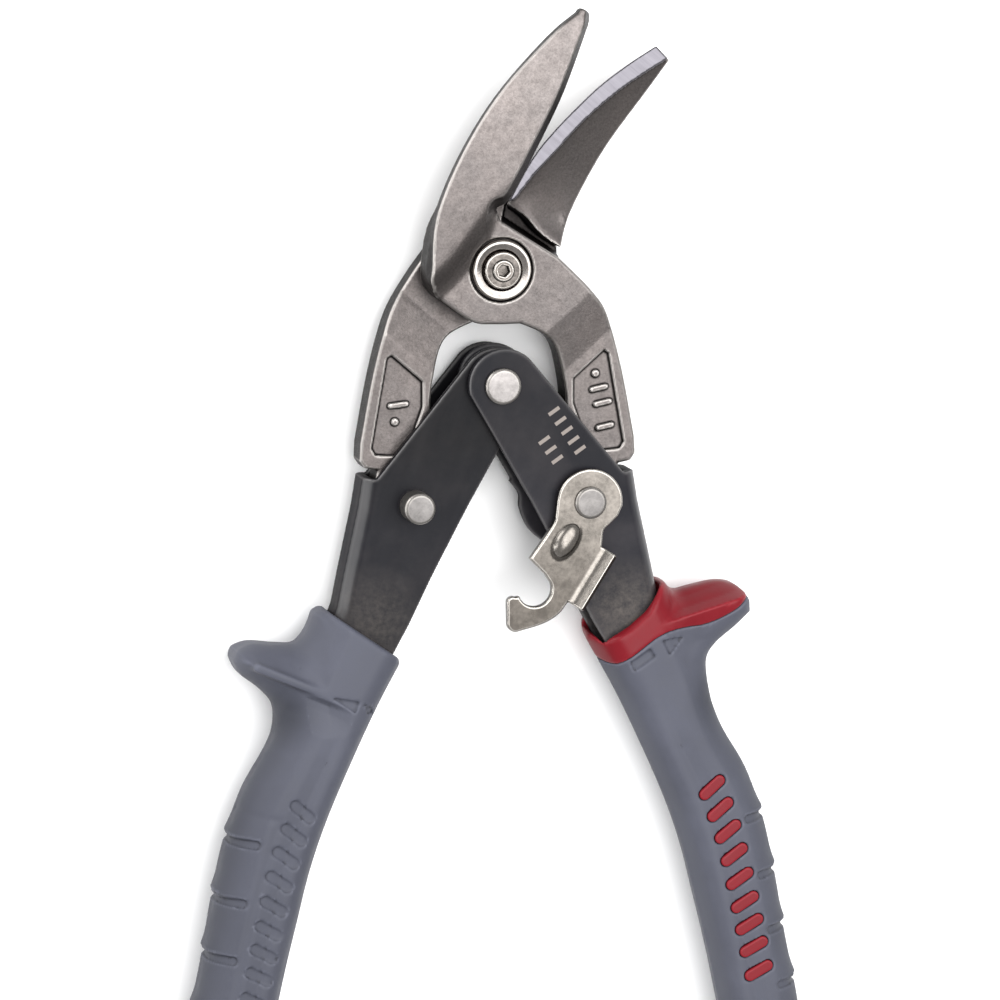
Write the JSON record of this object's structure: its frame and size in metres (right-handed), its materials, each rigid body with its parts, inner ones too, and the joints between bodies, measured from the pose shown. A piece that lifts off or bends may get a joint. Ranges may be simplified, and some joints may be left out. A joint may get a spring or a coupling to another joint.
{
  "type": "aviation snips",
  "caption": "Offset compound-action sheet metal snips: two forged jaws driven by sprung folded-steel handles in moulded grips, with a swinging hook latch.",
  "frame": {"origin": "centre of the jaw pivot bolt's end face, which touches the surface the tool lies on", "axes": "+Y from the handles towards the blade tips, +Z out of the front face, +X to the right seen from the front with the blades up"},
  "size_m": [0.1392, 0.2488, 0.0204],
  "materials": {
    "forging": "satin, forged and shot-blasted",
    "plated_steel": "bright plated",
    "black_steel": "satin black",
    "rivet_steel": "satin",
    "spring_steel": "drawn wire",
    "grey_grip": "matte moulded",
    "red_grip": "satin moulded"
  },
  "bodies": {
    "left_handle": {"left_handle": "black_steel", "left_grip": "grey_grip", "latch_post": "rivet_steel", "handle_pivot_rivet": "rivet_steel", "spring_sleeve": "rivet_steel", "return_spring": "spring_steel"},
    "right_handle": {"right_handle": "black_steel", "right_grip": "grey_grip", "right_grip_collar": "red_grip", "latch_rivet": "rivet_steel", "latch_spring_washer": "spring_steel", "right_grip_inlay_1": "red_grip", "right_grip_inlay_2": "red_grip", "right_grip_inlay_3": "red_grip", "right_grip_inlay_4": "red_grip", "right_grip_inlay_5": "red_grip", "right_grip_inlay_6": "red_grip", "right_grip_inlay_7": "red_grip", "right_grip_inlay_8": "red_grip", "right_grip_inlay_9": "red_grip"},
    "rear_jaw": {"rear_jaw": "forging", "pivot_bolt": "plated_steel", "pivot_washer": "plated_steel", "pivot_nut": "plated_steel", "pivot_nut_washer": "plated_steel"},
    "front_jaw": {"front_jaw": "forging"},
    "latch": {"latch": "plated_steel"}
  },
  "joints": [
    {"name": "handle_hinge", "type": "hinge", "parent": "left_handle", "child": "right_handle", "pos_m": [0, -0.0232, 0.0096], "axis": [0, 0, -1], "range_deg": [0, 31.6], "stiffness_Nm_per_rad": 0.8, "springref_deg": -20.05, "deforming": ["return_spring"]},
    {"name": "rear_jaw_hinge", "type": "hinge", "parent": "left_handle", "child": "rear_jaw", "pos_m": [-0.0175, -0.047, 0.0096], "axis": [0, 0, -1], "range_deg": [0, 7.3]},
    {"name": "front_jaw_hinge", "type": "hinge", "parent": "right_handle", "child": "front_jaw", "pos_m": [0.0175, -0.047, 0.0096], "axis": [0, 0, 1], "range_deg": [0, 7.3]},
    {"name": "latch_hinge", "type": "hinge", "parent": "right_handle", "child": "latch", "pos_m": [0.0175, -0.047, 0.0181], "axis": [0, 0, -1], "range_deg": [-10, 40.8]}
  ],
  "couplings": [
    {"joint": "rear_jaw_hinge", "follows": "handle_hinge", "ratio": 0.231},
    {"joint": "front_jaw_hinge", "follows": "handle_hinge", "ratio": 0.231}
  ]
}
